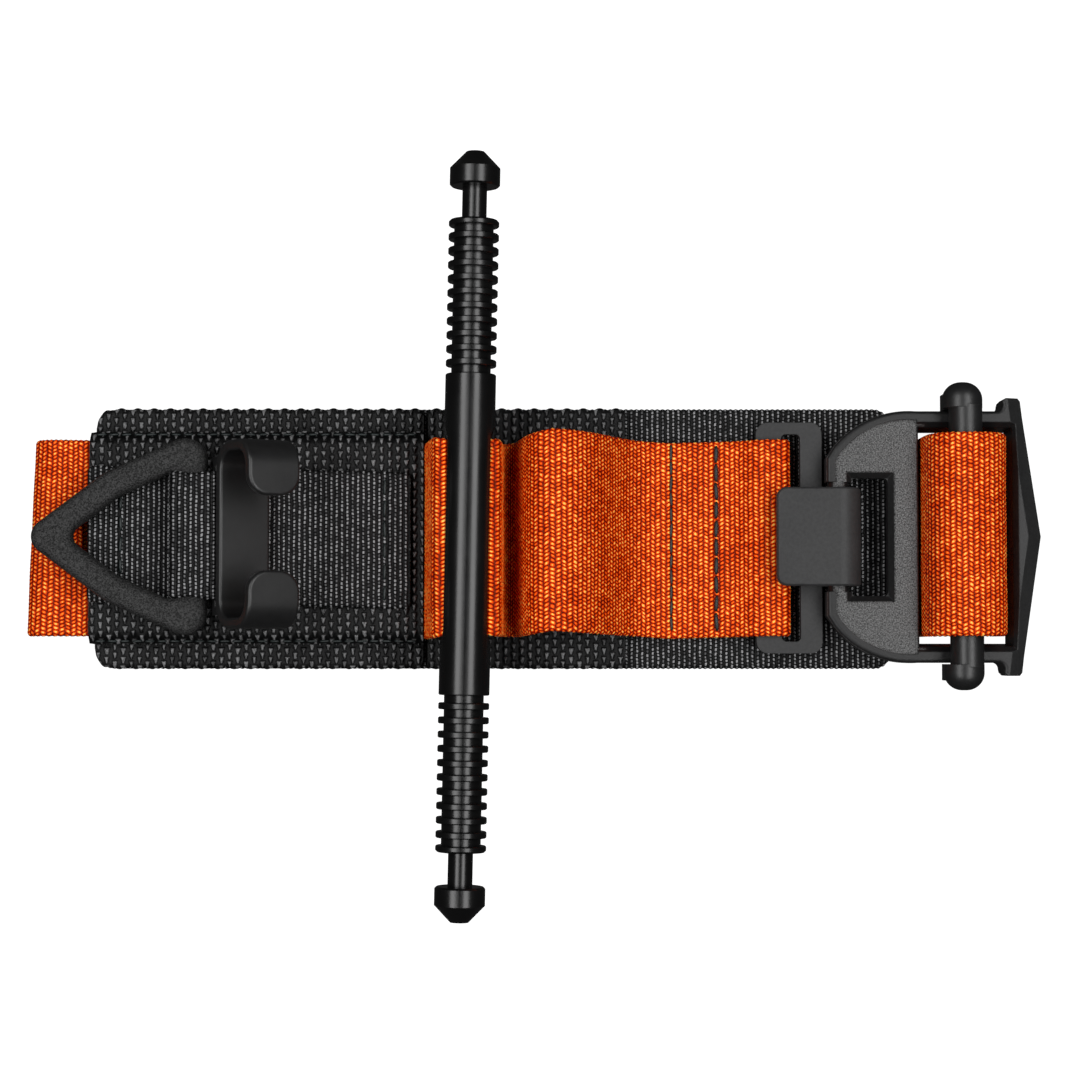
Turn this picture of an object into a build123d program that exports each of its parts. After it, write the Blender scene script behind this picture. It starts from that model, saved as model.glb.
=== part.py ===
from build123d import *
from math import cos, radians, sin, tan
import os

# Windlass tourniquet, stored flat. Millimetres, +Z up. The origin is on the rest plane, under the
# axis that the windlass turns about. +X points to the buckle, and the windlass lies along Y.

# ---- Webbing widths and thicknesses
STRAP_W = 38.1
STRAP_T = 1.3
BASE_W = 50.8
BASE_T = 1.6
GRIP_T = 2.0
SLEEVE_W = 41.4
TAB_W = 26.4
TAB_T = 1.4
TAB_WAIST_L, TAB_WAIST_IN = 12.0, 2.2
GAP = 0.3  # clearance between pieces of different bodies

# ---- Heights of the stack, each the underside of a layer
TAIL_END_Z = 0.0
TAIL_MIDDLE_Z = TAIL_END_Z + STRAP_T
TAIL_TOP_Z = TAIL_MIDDLE_Z + STRAP_T
MAIN_Z = TAIL_TOP_Z + STRAP_T
BASE_Z = MAIN_Z + STRAP_T
GRIP_Z = BASE_Z + BASE_T
SLEEVE_STRAP_Z = GRIP_Z + GRIP_T
SLEEVE_Z = SLEEVE_STRAP_Z + STRAP_T
TAB_Z = SLEEVE_Z + GRIP_T
ANCHOR_Z = GRIP_Z  # the sewn end of the strap lies straight on the base webbing

# ---- Where the layers begin and end along X
BASE_LEFT, BASE_RIGHT = -73.2, 82.5
GRIP_LEFT_END = -9.0
GRIP_RIGHT_START, GRIP_RIGHT_END = -8.2, 30.3
SLEEVE_LEFT, SLEEVE_RIGHT = -73.9, -9.0
TAB_LEFT, TAB_RIGHT = -73.9, -11.4
FOLD_LEFT = -85.4
TAIL_LEFT, TAIL_RIGHT = -70.0, 88.0

# ---- Windlass
ROD_Z = 24.5
ROD_R = 4.8
ROD_LEAN = 1.15  # degrees from Y, the far end towards +X
GRIP_START = 30.3  # the smooth middle ends here, on each side of the centre
RING_COUNT = 11
RING_PITCH = 2.67
RING_W = 1.24
GROOVE_R = 3.75
NECK_R = 2.35
NECK_END = 66.1
KNOB_END = 69.8
TIP_END = 72.8
TIP_R = 1.75
EDGE = 0.18
SLOT_L = 40.8
SLOT_H = 5.0

# ---- Triangle ring
RING_PIVOT_X, RING_PIVOT_Z = -52.95, 16.0
RING_RIGHT = -50.3
RING_BAND = 5.3
RING_T = 4.4
RING_INNER_R = 2.0
RING_APEX_X = -86.3
RING_BEND = (-70.0, 12.3)
RING_CORNER_Y = 21.2

# ---- Retention clip
CLIP_X, CLIP_Z = -43.7, 17.9  # middle of the underside of its base
CLIP_TILT = 32.0
CLIP_W = 10.6
CLIP_T = 2.1
CLIP_H = 15.2
CLIP_HALF = 17.8
CLIP_CORNER_R = 5.6
CLIP_MOUTH = 14.0
CLIP_SLOT_H = 2.0
CLIP_SLOT_HALF = 13.6
CLIP_BRIDGE_T = 1.2
CLIP_BRIDGE_HALF = 15.2

# ---- Hook plate
PLATE_T = 2.2
PLATE_Z = ANCHOR_Z + STRAP_T + GAP
PLATE_LEFT, PLATE_RIGHT = 55.8, 68.6
PLATE_W = 45.0
PLATE_CORNER_R = 2.3
PLATE_SLOT_LEFT, PLATE_SLOT_RIGHT = 60.7, 64.4
PLATE_SLOT_W = 40.4
HOOK_W = 19.0
HOOK_LEFT = 59.2
BEND_X = 71.4
BEND_INNER_R = 2.2
BEND_Z = PLATE_Z + PLATE_T + BEND_INNER_R
PLATE_PIVOT_X = (PLATE_LEFT + PLATE_SLOT_LEFT) / 2

# ---- Buckle
BUCKLE_Z = PLATE_Z + PLATE_T + GAP
BUCKLE_FRONT_T = 3.8
RAIL_Z = 8.7
RAIL_TOP = 15.4
RIM_ROUND = 0.8
RIM_W = 1.7
PLATE_END = 86.4  # the front plate ends just before the throat
RAIL_START = 84.9  # left of this the buckle is raised to clear the base webbing
BUCKLE_LEFT = 69.0
BUCKLE_BAR_R = 2.0
BUCKLE_HALF = 24.3
HOOK_HOLE_LEFT, HOOK_HOLE_RIGHT = 74.0, 81.0
HOOK_HOLE_W = 22.8
THROAT_LEFT, THROAT_RIGHT = 87.4, 104.4  # at its narrow underside
THROAT_W = 41.2
THROAT_DRAFT = 6.0  # degrees that each wall leans out
THROAT_EDGE_DEPTH = 1.2
THROAT_EDGE_SLOPE = 40.0
HOLE_EDGE_DEPTH = 1.4
HOLE_EDGE_SLOPE = 42.0
LIP_BEVEL_IN, LIP_BEVEL_DOWN = 2.6, 1.2
LIP_X, LIP_Y = 107.0, 22.9
APEX_X = 110.4
EAR_LEFT, EAR_RIGHT, EAR_Y = 102.9, 106.6, 26.8

# ---- Friction bar
BAR_X = 95.2
BAR_R = 3.2
BAR_Z = RAIL_TOP + GAP / 2 + BAR_R
BAR_HALF = 29.5
HEAD_START = BUCKLE_HALF + 0.25
HEAD_X = BAR_X - 0.5
HEAD_R = 3.85
HEAD_ROUND = 3.4
HEAD_JOIN = 0.5  # how far the bar and the pegs reach into the heads
DROP_INSET = 1.8  # the drop under each head is smaller than its dome
HEAD_BOTTOM = 10.4
PEG_R = 1.1
PEG_Z = 12.6
PEG_L = 1.5
BAR_TRAVEL = 2.5
TRACK_H = 2.5
TRACK_DEPTH = 1.75

# ---- Strap: its loops and where it is sewn
SEWN_LEFT, SEWN_RIGHT = 35.4, 52.4
HOOK_LOOP_END = 62.3
HUMP_TOP_Z = ROD_Z - STRAP_T / 2 + 0.2
VALLEY_Z = 10.2
BAR_LOOP_START = 84.0
BAR_LOOP_LEFT, BAR_LOOP_RIGHT = 87.4, 103.2

# ---- Tab: how it rises over the ring's bar and falls through the clip
TAB_RISE_X = RING_PIVOT_X - 3.1
TAB_TOP_Z = RING_PIVOT_Z + 3.1
TAB_FALL_LEFT, TAB_FALL_RIGHT = CLIP_X - 6.3, CLIP_X + 7.0

# ---- Stitching
THREAD_H = 0.3
THREAD_W = 0.6
ROW_MARGIN = 1.0  # from the edge of the webbing to the first stitch
SEWN_ROW_INNER, SEWN_ROW_OUTER = 39.3, 48.1
TAB_ROW_LEFT, TAB_ROW_RIGHT = -67.4, -16.3
SLEEVE_ROW_Y = 20.1

# ---- Body boundaries under the hook plate and the buckle
CUT_PLATE = PLATE_PIVOT_X
CUT_BUCKLE = BEND_X

os.makedirs("parts", exist_ok=True)


def save(builder, label):
    """Name a finished piece and write it."""
    builder.part.label = label
    export_step(builder.part, f"parts/{label}.step")


def ribbon(points, radii, thickness, side=Side.LEFT):
    """The side view of a bent strip: the line through the points, rounded, and its offset to one side."""
    with BuildLine() as edge:
        FilletPolyline(*points, radius=radii)
        offset(amount=thickness, side=side)
    make_face(edge.edges())


def side_view(y=0.0):
    """The XZ plane at a given Y, seen from -Y, so that sketches on it use X and Z."""
    return Plane(origin=(0, y, 0), x_dir=(1, 0, 0), z_dir=(0, -1, 0))


# ======== Windlass: one turned rod with a slot for the strap
lean = radians(ROD_LEAN)
rod_plane = Plane(origin=(0, 0, ROD_Z), x_dir=(sin(lean), cos(lean), 0), z_dir=(cos(lean), -sin(lean), 0))


def half_rod_profile():
    """Points (along, radius) of the rod from its middle out to one tip."""
    points = [(GRIP_START - EDGE, ROD_R), (GRIP_START, ROD_R - EDGE)]
    for n in range(RING_COUNT):
        end = GRIP_START + (n + 1) * RING_PITCH
        start = end - RING_W
        outer_edge = 2 * EDGE if n == RING_COUNT - 1 else EDGE
        points.append((start - RING_PITCH + RING_W, GROOVE_R))
        points.append((start, GROOVE_R))
        points.append((start, ROD_R - EDGE))
        points.append((start + EDGE, ROD_R))
        points.append((end - outer_edge, ROD_R))
        points.append((end, ROD_R - outer_edge))
    grip_end = GRIP_START + RING_COUNT * RING_PITCH
    points.append((grip_end, NECK_R))
    points.append((NECK_END, NECK_R))
    points.append((NECK_END, ROD_R - 2 * EDGE))
    points.append((NECK_END + 2 * EDGE, ROD_R))
    points.append((KNOB_END - EDGE, ROD_R))
    points.append((KNOB_END, ROD_R - EDGE))
    points.append((TIP_END, TIP_R))
    points.append((TIP_END, 0))
    return points


with BuildPart() as windlass:
    with BuildSketch(rod_plane):
        with BuildLine():
            right_half = half_rod_profile()
            left_half = [(-x, r) for x, r in reversed(right_half)]
            Polyline(*left_half, *right_half, close=True)
        make_face()
    revolve(axis=Axis((0, 0, ROD_Z), (sin(lean), cos(lean), 0)))
    with BuildSketch(rod_plane):
        SlotOverall(SLOT_L, SLOT_H)
    extrude(amount=ROD_R + 1, both=True, mode=Mode.SUBTRACT)
save(windlass, "windlass")


# ======== Triangle ring, lying flat, its straight bar along Y
def draw_ring_outline():
    """The rounded triangle of the ring's outer edge, its tip towards -X."""
    with BuildLine() as outline:
        FilletPolyline(
            (RING_RIGHT, RING_CORNER_Y),
            RING_BEND,
            (RING_APEX_X, 0),
            (RING_BEND[0], -RING_BEND[1]),
            (RING_RIGHT, -RING_CORNER_Y),
            radius=(4.2, 12.0, 3.4, 12.0, 4.2),
            close=True,
        )
    make_face(outline.edges())


with BuildSketch() as ring_opening:
    draw_ring_outline()
    offset(amount=-RING_BAND, kind=Kind.INTERSECTION, mode=Mode.REPLACE)
    opening_tip = ring_opening.vertices().sort_by(Axis.X)[0]
    opening_corners = ring_opening.vertices().sort_by(Axis.X)[-2:]
    fillet([opening_tip, *opening_corners], radius=RING_INNER_R)

with BuildPart() as tri_ring:
    with BuildSketch(Plane.XY.offset(RING_PIVOT_Z - RING_T / 2)):
        draw_ring_outline()
        add(ring_opening.sketch, mode=Mode.SUBTRACT)
    extrude(amount=RING_T)
    fillet(tri_ring.faces().group_by(Axis.Z)[-1].edges(), radius=1.5)
    fillet(tri_ring.faces().group_by(Axis.Z)[0].edges(), radius=1.5)
save(tri_ring, "tri_ring")


# ======== Retention clip: a C of plastic strip, tilted about Y, with a slot under it for the tab
tilt = radians(CLIP_TILT)
strip_dir = (cos(tilt), 0, -sin(tilt))
clip_plane = Plane(origin=(CLIP_X, 0, CLIP_Z), x_dir=(0, 1, 0), z_dir=strip_dir)

with BuildPart() as retention_clip:
    with BuildSketch(clip_plane):
        with Locations((0, CLIP_H / 2)):
            RectangleRounded(2 * CLIP_HALF, CLIP_H, CLIP_CORNER_R)
            RectangleRounded(
                2 * (CLIP_HALF - CLIP_T), CLIP_H - 2 * CLIP_T, CLIP_CORNER_R - CLIP_T, mode=Mode.SUBTRACT
            )
        with Locations((0, CLIP_H)):
            Rectangle(CLIP_MOUTH, 2 * CLIP_T + 1, mode=Mode.SUBTRACT)
    extrude(amount=CLIP_W / 2, both=True)
    mouth_edges = retention_clip.edges().filter_by(Axis((0, 0, 0), clip_plane.y_dir))
    tips = [e for e in mouth_edges if abs(abs(e.center().Y) - CLIP_MOUTH / 2) < 0.1]
    fillet(tips, radius=4.0)
    outer_faces = retention_clip.faces().filter_by(Axis((0, 0, 0), clip_plane.z_dir))
    fillet(outer_faces.edges(), radius=0.6)
    with BuildSketch(clip_plane):
        with Locations((0, -(CLIP_SLOT_H + CLIP_BRIDGE_T) / 2 + CLIP_T / 4)):
            Rectangle(2 * CLIP_BRIDGE_HALF, CLIP_SLOT_H + CLIP_BRIDGE_T + CLIP_T / 2)
    extrude(amount=CLIP_W / 2 - 1.0, both=True)
    with BuildSketch(clip_plane):
        with Locations((0, -CLIP_SLOT_H / 2)):
            Rectangle(2 * CLIP_SLOT_HALF, CLIP_SLOT_H)
    extrude(amount=CLIP_W, both=True, mode=Mode.SUBTRACT)
save(retention_clip, "retention_clip")


# ======== Hook plate: a stamped frame whose neck bends up and back over itself into a flat hook
with BuildPart() as hook_plate:
    with BuildSketch(Plane.XY.offset(PLATE_Z)):
        with Locations(((PLATE_LEFT + PLATE_RIGHT) / 2, 0)):
            RectangleRounded(PLATE_RIGHT - PLATE_LEFT, PLATE_W, PLATE_CORNER_R)
        with Locations(((PLATE_SLOT_LEFT + PLATE_SLOT_RIGHT) / 2, 0)):
            RectangleRounded(PLATE_SLOT_RIGHT - PLATE_SLOT_LEFT, PLATE_SLOT_W, 0.9, mode=Mode.SUBTRACT)
    extrude(amount=PLATE_T)
    with BuildSketch(side_view()):
        with Locations((BEND_X, BEND_Z)):
            Circle(BEND_INNER_R + PLATE_T)
            Circle(BEND_INNER_R, mode=Mode.SUBTRACT)
        with Locations((BEND_X - BEND_INNER_R - PLATE_T, BEND_Z)):
            Rectangle(2 * (BEND_INNER_R + PLATE_T), 4 * (BEND_INNER_R + PLATE_T), mode=Mode.SUBTRACT)
        with Locations(((PLATE_RIGHT - 1 + BEND_X) / 2, PLATE_Z + PLATE_T / 2)):
            Rectangle(BEND_X - PLATE_RIGHT + 1, PLATE_T)
        with Locations(((HOOK_LEFT + BEND_X) / 2, BEND_Z + BEND_INNER_R + PLATE_T / 2)):
            Rectangle(BEND_X - HOOK_LEFT, PLATE_T)
    extrude(amount=HOOK_W / 2, both=True)
    upright_edges = hook_plate.edges().filter_by(Axis.Z)
    hook_corners = upright_edges.filter_by_position(Axis.X, HOOK_LEFT - 0.1, HOOK_LEFT + 0.1)
    fillet(hook_corners, radius=2.0)
    top_face = hook_plate.faces().sort_by(Axis.Z)[-1]
    chamfer(top_face.edges().filter_by_position(Axis.X, HOOK_LEFT - 1, BEND_X - 0.1), length=0.35)
save(hook_plate, "hook_plate")


# ======== Buckle: a D-shaped moulded plate with rails each side of a wide throat
def draw_buckle_outline():
    """Half of the outline above the X axis, mirrored."""
    with BuildLine() as outline:
        front = Line((BUCKLE_LEFT, 0), (BUCKLE_LEFT, 15.2))
        corner = Line(front @ 1, (70.4, 17.4))
        shoulder = ThreePointArc(corner @ 1, (76.6, 22.4), (86.4, BUCKLE_HALF))
        rail = Line(shoulder @ 1, (EAR_LEFT - 1.2, BUCKLE_HALF))
        root_middle = (EAR_LEFT - 0.35, BUCKLE_HALF + 0.35)
        ear_root = ThreePointArc(rail @ 1, root_middle, (EAR_LEFT, BUCKLE_HALF + 1.2))
        ear_side = Line(ear_root @ 1, (EAR_LEFT + 0.15, EAR_Y - 0.6))
        ear_top = Line(ear_side @ 1, (EAR_LEFT + 0.75, EAR_Y))
        ear_end = Line(ear_top @ 1, (EAR_RIGHT - 0.5, EAR_Y))
        ear_back = Line(ear_end @ 1, (EAR_RIGHT, EAR_Y - 0.6))
        lip_start = Line(ear_back @ 1, (LIP_X, LIP_Y))
        Line(lip_start @ 1, (APEX_X, 0))
        mirror(about=Plane.XZ)
    make_face(outline.edges())


with BuildPart() as buckle:
    with BuildSketch(Plane.XY.offset(BUCKLE_Z)):
        draw_buckle_outline()
    extrude(amount=RAIL_TOP - BUCKLE_Z)
    top_face = buckle.faces().sort_by(Axis.Z)[-1]
    lip_edges = [edge for edge in top_face.edges() if edge.center().X > LIP_X]
    chamfer(lip_edges, length=LIP_BEVEL_IN, length2=LIP_BEVEL_DOWN, reference=top_face)
    rim_edges = [edge for edge in buckle.faces().sort_by(Axis.Z)[-1].edges() if edge.center().X < EAR_LEFT]
    fillet(rim_edges, radius=RIM_ROUND)
    with BuildSketch(Plane.XY.offset(RAIL_Z)):
        draw_buckle_outline()
        with Locations((BUCKLE_LEFT, 0)):
            Rectangle(2 * (RAIL_START - BUCKLE_LEFT), 3 * BUCKLE_HALF, mode=Mode.SUBTRACT)
    extrude(amount=BUCKLE_Z - RAIL_Z)
    # the front plate is a little lower than the rim round it
    with BuildSketch(Plane.XY.offset(BUCKLE_Z + BUCKLE_FRONT_T)):
        draw_buckle_outline()
        offset(amount=-RIM_W, kind=Kind.INTERSECTION, mode=Mode.REPLACE)
        with Locations((APEX_X, 0)):
            Rectangle(2 * (APEX_X - PLATE_END), 3 * BUCKLE_HALF, mode=Mode.SUBTRACT)
    extrude(amount=RAIL_TOP - BUCKLE_Z - BUCKLE_FRONT_T + 0.5, mode=Mode.SUBTRACT)
    with BuildSketch(Plane.XY.offset(RAIL_Z - 1)):
        with Locations(((HOOK_HOLE_LEFT + HOOK_HOLE_RIGHT) / 2, 0)):
            RectangleRounded(HOOK_HOLE_RIGHT - HOOK_HOLE_LEFT, HOOK_HOLE_W, 0.8)
    extrude(amount=RAIL_TOP - RAIL_Z + 2, mode=Mode.SUBTRACT)
    with BuildSketch(Plane.XY.offset(RAIL_Z)):
        with Locations(((THROAT_LEFT + THROAT_RIGHT) / 2, 0)):
            Rectangle(THROAT_RIGHT - THROAT_LEFT, THROAT_W)
    extrude(amount=RAIL_TOP - RAIL_Z, taper=-THROAT_DRAFT, mode=Mode.SUBTRACT)
    throat_widening = tan(radians(THROAT_DRAFT)) * (RAIL_TOP - THROAT_EDGE_DEPTH - RAIL_Z)
    with BuildSketch(Plane.XY.offset(RAIL_TOP - THROAT_EDGE_DEPTH)):
        with Locations(((THROAT_LEFT + THROAT_RIGHT) / 2, 0)):
            Rectangle(THROAT_RIGHT - THROAT_LEFT + 2 * throat_widening, THROAT_W + 2 * throat_widening)
    extrude(amount=THROAT_EDGE_DEPTH + 1, taper=-THROAT_EDGE_SLOPE, mode=Mode.SUBTRACT)
    with BuildSketch(Plane.XY.offset(BUCKLE_Z + BUCKLE_FRONT_T - HOLE_EDGE_DEPTH)):
        with Locations(((HOOK_HOLE_LEFT + HOOK_HOLE_RIGHT) / 2, 0)):
            Rectangle(HOOK_HOLE_RIGHT - HOOK_HOLE_LEFT, HOOK_HOLE_W)
    extrude(amount=3, taper=-HOLE_EDGE_SLOPE, mode=Mode.SUBTRACT)
    # the hinge bar that the hook closes over is round
    with BuildSketch(Plane.XY.offset(RAIL_Z)):
        with Locations(((BUCKLE_LEFT - 1 + HOOK_HOLE_LEFT + 0.5) / 2, 0)):
            Rectangle(HOOK_HOLE_LEFT - BUCKLE_LEFT + 1.5, HOOK_W + 2.2)
    extrude(amount=RAIL_TOP, mode=Mode.SUBTRACT)
    with BuildSketch(side_view()):
        with Locations((BEND_X, BEND_Z)):
            Circle(BUCKLE_BAR_R)
    extrude(amount=HOOK_W / 2 + 2.0, both=True)
    # tracks along the outer sides of the rails, for the pegs of the friction bar
    for side in (-1, 1):
        with BuildSketch(side_view(side * BUCKLE_HALF)):
            with Locations((BAR_X, PEG_Z)):
                SlotOverall(2 * (BAR_TRAVEL + PEG_R + 0.15), TRACK_H)
        extrude(amount=TRACK_DEPTH, both=True, mode=Mode.SUBTRACT)
save(buckle, "buckle")


# ======== Friction bar: a round bar across the rails, its heads domed and dropping down outside them
with BuildPart() as friction_bar:
    with BuildSketch(side_view()):
        with Locations((BAR_X, BAR_Z)):
            Circle(BAR_R)
    extrude(amount=HEAD_START + HEAD_JOIN, both=True)
    head_z = BAR_Z + BAR_R - HEAD_R
    head_l = BAR_HALF - HEAD_START
    for side in (-1, 1):
        with BuildSketch(side_view(side * HEAD_START)) as head:
            with Locations((HEAD_X, head_z)):
                Circle(HEAD_R)
        extrude(head.sketch, amount=-side * head_l)
    head_ends = [e for e in friction_bar.edges() if abs(abs(e.center().Y) - BAR_HALF) < GAP]
    fillet(head_ends, radius=HEAD_ROUND)
    for side in (-1, 1):
        drop_l = head_l - DROP_INSET
        with BuildSketch(Plane.XY.offset(HEAD_BOTTOM)) as drop:
            with Locations((HEAD_X, side * (HEAD_START + drop_l / 2))):
                Rectangle(2 * HEAD_R - DROP_INSET, drop_l)
        extrude(drop.sketch, amount=head_z - HEAD_BOTTOM)
        with BuildSketch(side_view(side * (HEAD_START + HEAD_JOIN))) as peg:
            with Locations((BAR_X, PEG_Z)):
                Circle(PEG_R)
        extrude(peg.sketch, amount=side * (PEG_L + HEAD_JOIN))
save(friction_bar, "friction_bar")


# ======== Base webbing: one strip, in three lengths that lie under the base, hook plate and buckle
def slab(left, right, width, bottom, thickness, corner=0.0):
    """A flat strip, its right-hand corners rounded where a radius is given."""
    with BuildSketch(Plane.XY.offset(bottom)) as strip:
        with Locations(((left + right) / 2, 0)):
            Rectangle(right - left, width)
    extrude(strip.sketch, amount=thickness)
    if corner:
        fillet(edges().filter_by(Axis.Z).group_by(Axis.X)[-1], radius=corner)


with BuildPart() as base_webbing:
    slab(BASE_LEFT, CUT_PLATE - GAP / 2, BASE_W, BASE_Z, BASE_T)
save(base_webbing, "base_webbing")

with BuildPart() as base_webbing_under_hook:
    slab(CUT_PLATE + GAP / 2, CUT_BUCKLE - GAP / 2, BASE_W, BASE_Z, BASE_T)
save(base_webbing_under_hook, "base_webbing_under_hook")

with BuildPart() as base_webbing_end:
    slab(CUT_BUCKLE + GAP / 2, BASE_RIGHT, BASE_W, BASE_Z, BASE_T, corner=3.0)
save(base_webbing_end, "base_webbing_end")


# ======== Coarse grip webbing in two pieces, with a slit between them
with BuildPart() as grip_webbing_left:
    slab(BASE_LEFT, GRIP_LEFT_END, BASE_W, GRIP_Z, GRIP_T)
save(grip_webbing_left, "grip_webbing_left")

with BuildPart() as grip_webbing_right:
    slab(GRIP_RIGHT_START, GRIP_RIGHT_END, BASE_W, GRIP_Z, GRIP_T)
save(grip_webbing_right, "grip_webbing_right")

# ======== Sleeve: a narrower coarse strip sewn down along both edges, open at both ends
with BuildPart() as sleeve_webbing:
    slab(SLEEVE_LEFT, SLEEVE_RIGHT, SLEEVE_W, SLEEVE_STRAP_Z, SLEEVE_Z + GRIP_T - SLEEVE_STRAP_Z)
    with BuildSketch(Plane.XY.offset(SLEEVE_STRAP_Z)):
        with Locations(((SLEEVE_LEFT + SLEEVE_RIGHT) / 2, 0)):
            Rectangle(SLEEVE_RIGHT - SLEEVE_LEFT + 1, STRAP_W + 2 * GAP)
    extrude(amount=STRAP_T, mode=Mode.SUBTRACT)
save(sleeve_webbing, "sleeve_webbing")

# ======== Tab: a narrow strip over the bar of the triangle ring, then down through the clip
with BuildPart() as tab_webbing:
    with BuildSketch(side_view()):
        ribbon(
            (
                (TAB_LEFT, TAB_Z),
                (TAB_RISE_X, TAB_Z),
                (TAB_RISE_X, TAB_TOP_Z),
                (TAB_FALL_LEFT, TAB_TOP_Z + 0.25),
                (TAB_FALL_RIGHT, TAB_Z),
                (TAB_RIGHT, TAB_Z),
            ),
            (0.8, 3.0, 2.0, 2.0),
            TAB_T,
        )
    extrude(amount=TAB_W / 2, both=True)
    # narrower where it rises through the ring
    with BuildSketch(Plane.XY.offset(TAB_Z + TAB_T)):
        for side in (-1, 1):
            with Locations((RING_PIVOT_X, side * TAB_W / 2)):
                Rectangle(TAB_WAIST_L, 2 * TAB_WAIST_IN)
    extrude(amount=12, mode=Mode.SUBTRACT)
save(tab_webbing, "tab_webbing")


# ======== Strap: one strip, in lengths that follow the bodies it lies on
with BuildPart() as strap_in_sleeve:
    slab(SLEEVE_LEFT, SLEEVE_RIGHT - GAP, STRAP_W, SLEEVE_STRAP_Z, STRAP_T)
save(strap_in_sleeve, "strap_in_sleeve")

fold_right = SLEEVE_LEFT
with BuildPart() as strap_left_fold:
    with BuildSketch(side_view()):
        ribbon(
            (
                (fold_right, SLEEVE_Z),
                (FOLD_LEFT, SLEEVE_Z),
                (FOLD_LEFT, MAIN_Z),
                (fold_right, MAIN_Z),
            ),
            (SLEEVE_Z - MAIN_Z) / 2 - 0.01,
            STRAP_T,
        )
    extrude(amount=STRAP_W / 2, both=True)
save(strap_left_fold, "strap_left_fold")

# from the sleeve over the rod, down into a narrow valley, over the slack hump and down to the sewn end
with BuildPart() as strap_windlass_loop:
    with BuildSketch(side_view()):
        ribbon(
            (
                (SLEEVE_RIGHT, SLEEVE_STRAP_Z),
                (-6.8, SLEEVE_STRAP_Z),
                (-6.8, ROD_Z - STRAP_T / 2),
                (5.9, ROD_Z - STRAP_T / 2),
                (6.6, VALLEY_Z),
                (9.0, VALLEY_Z),
                (12.0, HUMP_TOP_Z),
                (20.2, HUMP_TOP_Z),
                (SEWN_LEFT - 3.0, ANCHOR_Z + STRAP_T),
                (SEWN_LEFT, ANCHOR_Z + STRAP_T),
            ),
            (0.6, 1.8, 1.6, 0.9, 0.9, 2.6, 8.0, 4.0),
            STRAP_T,
        )
    extrude(amount=STRAP_W / 2, both=True)
save(strap_windlass_loop, "strap_windlass_loop")

with BuildPart() as strap_sewn_end:
    slab(SEWN_LEFT, SEWN_RIGHT, STRAP_W, ANCHOR_Z, 2 * STRAP_T)
save(strap_sewn_end, "strap_sewn_end")

with BuildPart() as strap_hook_loop:
    with BuildSketch(side_view()):
        ribbon(
            (
                (SEWN_RIGHT, ANCHOR_Z),
                (HOOK_LOOP_END, ANCHOR_Z),
                (HOOK_LOOP_END, PLATE_Z + PLATE_T + GAP + STRAP_T),
                (SEWN_RIGHT + 2.2, PLATE_Z + PLATE_T + GAP + STRAP_T),
                (SEWN_RIGHT, ANCHOR_Z + 2 * STRAP_T),
            ),
            (2.2, 2.2, 1.6),
            STRAP_T,
            side=Side.RIGHT,
        )
    extrude(amount=STRAP_W / 2, both=True)
save(strap_hook_loop, "strap_hook_loop")

with BuildPart() as strap_main_run:
    slab(fold_right, CUT_PLATE - GAP / 2, STRAP_W, MAIN_Z, STRAP_T)
save(strap_main_run, "strap_main_run")

with BuildPart() as strap_main_under_hook:
    slab(CUT_PLATE + GAP / 2, CUT_BUCKLE - GAP / 2, STRAP_W, MAIN_Z, STRAP_T)
save(strap_main_under_hook, "strap_main_under_hook")

with BuildPart() as strap_main_under_buckle:
    slab(CUT_BUCKLE + GAP / 2, BAR_LOOP_START - GAP, STRAP_W, MAIN_Z, STRAP_T)
save(strap_main_under_buckle, "strap_main_under_buckle")

bar_loop_top = BAR_Z + BAR_R + GAP + STRAP_T
with BuildPart() as strap_bar_loop:
    with BuildSketch(side_view()):
        with Locations(((BAR_LOOP_LEFT + BAR_LOOP_RIGHT) / 2, (TAIL_TOP_Z + GAP + bar_loop_top) / 2)):
            Rectangle(BAR_LOOP_RIGHT - BAR_LOOP_LEFT, bar_loop_top - TAIL_TOP_Z - GAP)
        with Locations(((BAR_LOOP_START + BAR_LOOP_LEFT) / 2 + 1, (TAIL_TOP_Z + GAP + BASE_Z) / 2)):
            Rectangle(BAR_LOOP_LEFT - BAR_LOOP_START + 2, BASE_Z - TAIL_TOP_Z - GAP)
        fillet(vertices().group_by(Axis.Y)[-1], radius=(BAR_LOOP_RIGHT - BAR_LOOP_LEFT) / 2 - 0.01)
        fillet(vertices().group_by(Axis.Y)[0].sort_by(Axis.X)[-1], radius=3.0)
        inside_w = BAR_LOOP_RIGHT - BAR_LOOP_LEFT - 2 * STRAP_T
        inside_h = bar_loop_top - STRAP_T - MAIN_Z
        with Locations(((BAR_LOOP_LEFT + BAR_LOOP_RIGHT) / 2, MAIN_Z + inside_h / 2)):
            SlotOverall(inside_h, inside_w, rotation=90, mode=Mode.SUBTRACT)
        with Locations(((BAR_LOOP_LEFT + BAR_LOOP_RIGHT) / 2, MAIN_Z + inside_h / 4)):
            RectangleRounded(inside_w, inside_h / 2, 1.7, mode=Mode.SUBTRACT)
    extrude(amount=STRAP_W / 2, both=True)
save(strap_bar_loop, "strap_bar_loop")

with BuildPart() as strap_tail_under_buckle:
    slab(CUT_BUCKLE + GAP / 2, BAR_LOOP_START - GAP, STRAP_W, TAIL_TOP_Z + GAP, STRAP_T - GAP)
save(strap_tail_under_buckle, "strap_tail_under_buckle")

with BuildPart() as strap_tail_under_hook:
    slab(CUT_PLATE + GAP / 2, CUT_BUCKLE - GAP / 2, STRAP_W, TAIL_TOP_Z + GAP, STRAP_T - GAP)
save(strap_tail_under_hook, "strap_tail_under_hook")

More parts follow.
